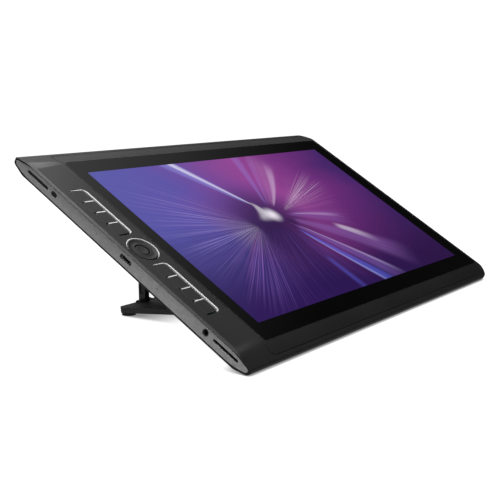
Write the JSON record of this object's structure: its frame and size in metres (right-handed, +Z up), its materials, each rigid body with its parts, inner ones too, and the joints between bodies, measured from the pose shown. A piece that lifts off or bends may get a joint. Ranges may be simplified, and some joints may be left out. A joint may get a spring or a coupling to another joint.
{
  "type": "pen drawing tablet",
  "caption": "Pen display tablet with a key panel and touch ring on its left, ports in a satin side strip, and a folding rear stand.",
  "frame": {"origin": "centre of the bounding box's footprint, on the surface the tablet stands on", "axes": "+X along the screen's long side to the right, +Y to the back, +Z up"},
  "size_m": [0.418, 0.2259, 0.1379],
  "materials": {
    "case": "fine matte, dark charcoal",
    "strip_panel": "fine matte, dark grey",
    "cover_glass": "gloss, black border",
    "display": "lit screen",
    "side_strip": "satin dark grey",
    "bright_trim": "polished edge",
    "key": "fine matte",
    "rubber": "matte",
    "board": "green circuit board",
    "cast_frame": "cast",
    "copper_pipe": "satin",
    "cell": "wrapped",
    "port_steel": "satin",
    "dark_plastic": "semi-matte",
    "screw": "blackened",
    "stand": "semi-matte black",
    "pin": "satin"
  },
  "bodies": {
    "tablet": {"back_cover": "case", "front_bezel": "case", "display_frame": "strip_panel", "cover_glass": "cover_glass", "lcd_panel": "display", "digitizer_board": "board", "mid_frame": "cast_frame", "left_side_insert": "side_strip", "right_side_insert": "side_strip", "key_trim_upper": "bright_trim", "key_trim_lower": "bright_trim", "key_dividers_upper": "bright_trim", "key_dividers_lower": "bright_trim", "touch_ring": "key", "ring_trim": "bright_trim", "key_board": "board", "usb_c_port": "port_steel", "audio_jack": "dark_plastic", "sd_card_slot": "port_steel", "fan_housing": "dark_plastic", "mainboard": "board", "heat_spreader": "cast_frame", "heat_pipe": "copper_pipe", "storage_module": "board", "battery_left": "cell", "battery_right": "cell", "speaker_left": "dark_plastic", "speaker_right": "dark_plastic", "case_screw_1": "screw", "case_screw_2": "screw", "case_screw_3": "screw", "case_screw_4": "screw", "front_foot_left": "rubber", "front_foot_right": "rubber", "stand_mount": "stand", "leg_hinge_pin_left": "pin", "leg_hinge_pin_right": "pin", "landing_pad": "rubber"},
    "express_key_1": {"express_key_1": "key"},
    "express_key_2": {"express_key_2": "key"},
    "express_key_3": {"express_key_3": "key"},
    "express_key_4": {"express_key_4": "key"},
    "express_key_5": {"express_key_5": "key"},
    "express_key_6": {"express_key_6": "key"},
    "express_key_7": {"express_key_7": "key"},
    "express_key_8": {"express_key_8": "key"},
    "home_button": {"home_button": "key"},
    "volume_rocker": {"volume_rocker": "key"},
    "power_button": {"power_button": "key"},
    "fan_rotor": {"fan_rotor": "dark_plastic"},
    "leg": {"leg_arm_left": "stand", "leg_arm_right": "stand", "leg_crossbar": "stand"},
    "base": {"base_plate": "stand", "base_foot_left": "rubber", "base_foot_right": "rubber", "foot_pin_left": "pin", "foot_pin_right": "pin"}
  },
  "joints": [
    {"name": "express_key_1_press", "type": "slide", "parent": "tablet", "child": "express_key_1", "axis": [0, 0.5125, -0.8587], "range_m": [0, 0.0005], "stiffness_N_per_m": 2000},
    {"name": "express_key_2_press", "type": "slide", "parent": "tablet", "child": "express_key_2", "axis": [0, 0.5125, -0.8587], "range_m": [0, 0.0005], "stiffness_N_per_m": 2000},
    {"name": "express_key_3_press", "type": "slide", "parent": "tablet", "child": "express_key_3", "axis": [0, 0.5125, -0.8587], "range_m": [0, 0.0005], "stiffness_N_per_m": 2000},
    {"name": "express_key_4_press", "type": "slide", "parent": "tablet", "child": "express_key_4", "axis": [0, 0.5125, -0.8587], "range_m": [0, 0.0005], "stiffness_N_per_m": 2000},
    {"name": "express_key_5_press", "type": "slide", "parent": "tablet", "child": "express_key_5", "axis": [0, 0.5125, -0.8587], "range_m": [0, 0.0005], "stiffness_N_per_m": 2000},
    {"name": "express_key_6_press", "type": "slide", "parent": "tablet", "child": "express_key_6", "axis": [0, 0.5125, -0.8587], "range_m": [0, 0.0005], "stiffness_N_per_m": 2000},
    {"name": "express_key_7_press", "type": "slide", "parent": "tablet", "child": "express_key_7", "axis": [0, 0.5125, -0.8587], "range_m": [0, 0.0005], "stiffness_N_per_m": 2000},
    {"name": "express_key_8_press", "type": "slide", "parent": "tablet", "child": "express_key_8", "axis": [0, 0.5125, -0.8587], "range_m": [0, 0.0005], "stiffness_N_per_m": 2000},
    {"name": "home_button_press", "type": "slide", "parent": "tablet", "child": "home_button", "axis": [0, 0.5125, -0.8587], "range_m": [0, 0.0005], "stiffness_N_per_m": 2000},
    {"name": "power_button_press", "type": "slide", "parent": "tablet", "child": "power_button", "axis": [1, 0, 0], "range_m": [0, 0.0004], "stiffness_N_per_m": 3500},
    {"name": "volume_rocker_tilt", "type": "hinge", "parent": "tablet", "child": "volume_rocker", "pos_m": [-0.206, 0.08718, 0.12161], "axis": [0, -0.5125, 0.8587], "range_deg": [-1.4, 1.4], "stiffness_Nm_per_rad": 0.55},
    {"name": "fan_spin", "type": "hinge", "parent": "tablet", "child": "fan_rotor", "pos_m": [0.125, 0.03655, 0.08254], "axis": [0, -0.5125, 0.8587], "continuous": true},
    {"name": "leg_fold", "type": "hinge", "parent": "tablet", "child": "leg", "pos_m": [0, 0.08091, 0.09562], "axis": [-1, 0, 0], "range_deg": [0, 57.94]},
    {"name": "base_fold", "type": "hinge", "parent": "leg", "child": "base", "pos_m": [0, 0.07901, 0.0065], "axis": [1, 0, 0], "range_deg": [0, 94.92]}
  ],
  "couplings": [
    {"joint": "base_fold", "follows": "leg_fold", "ratio": 1.6383}
  ]
}
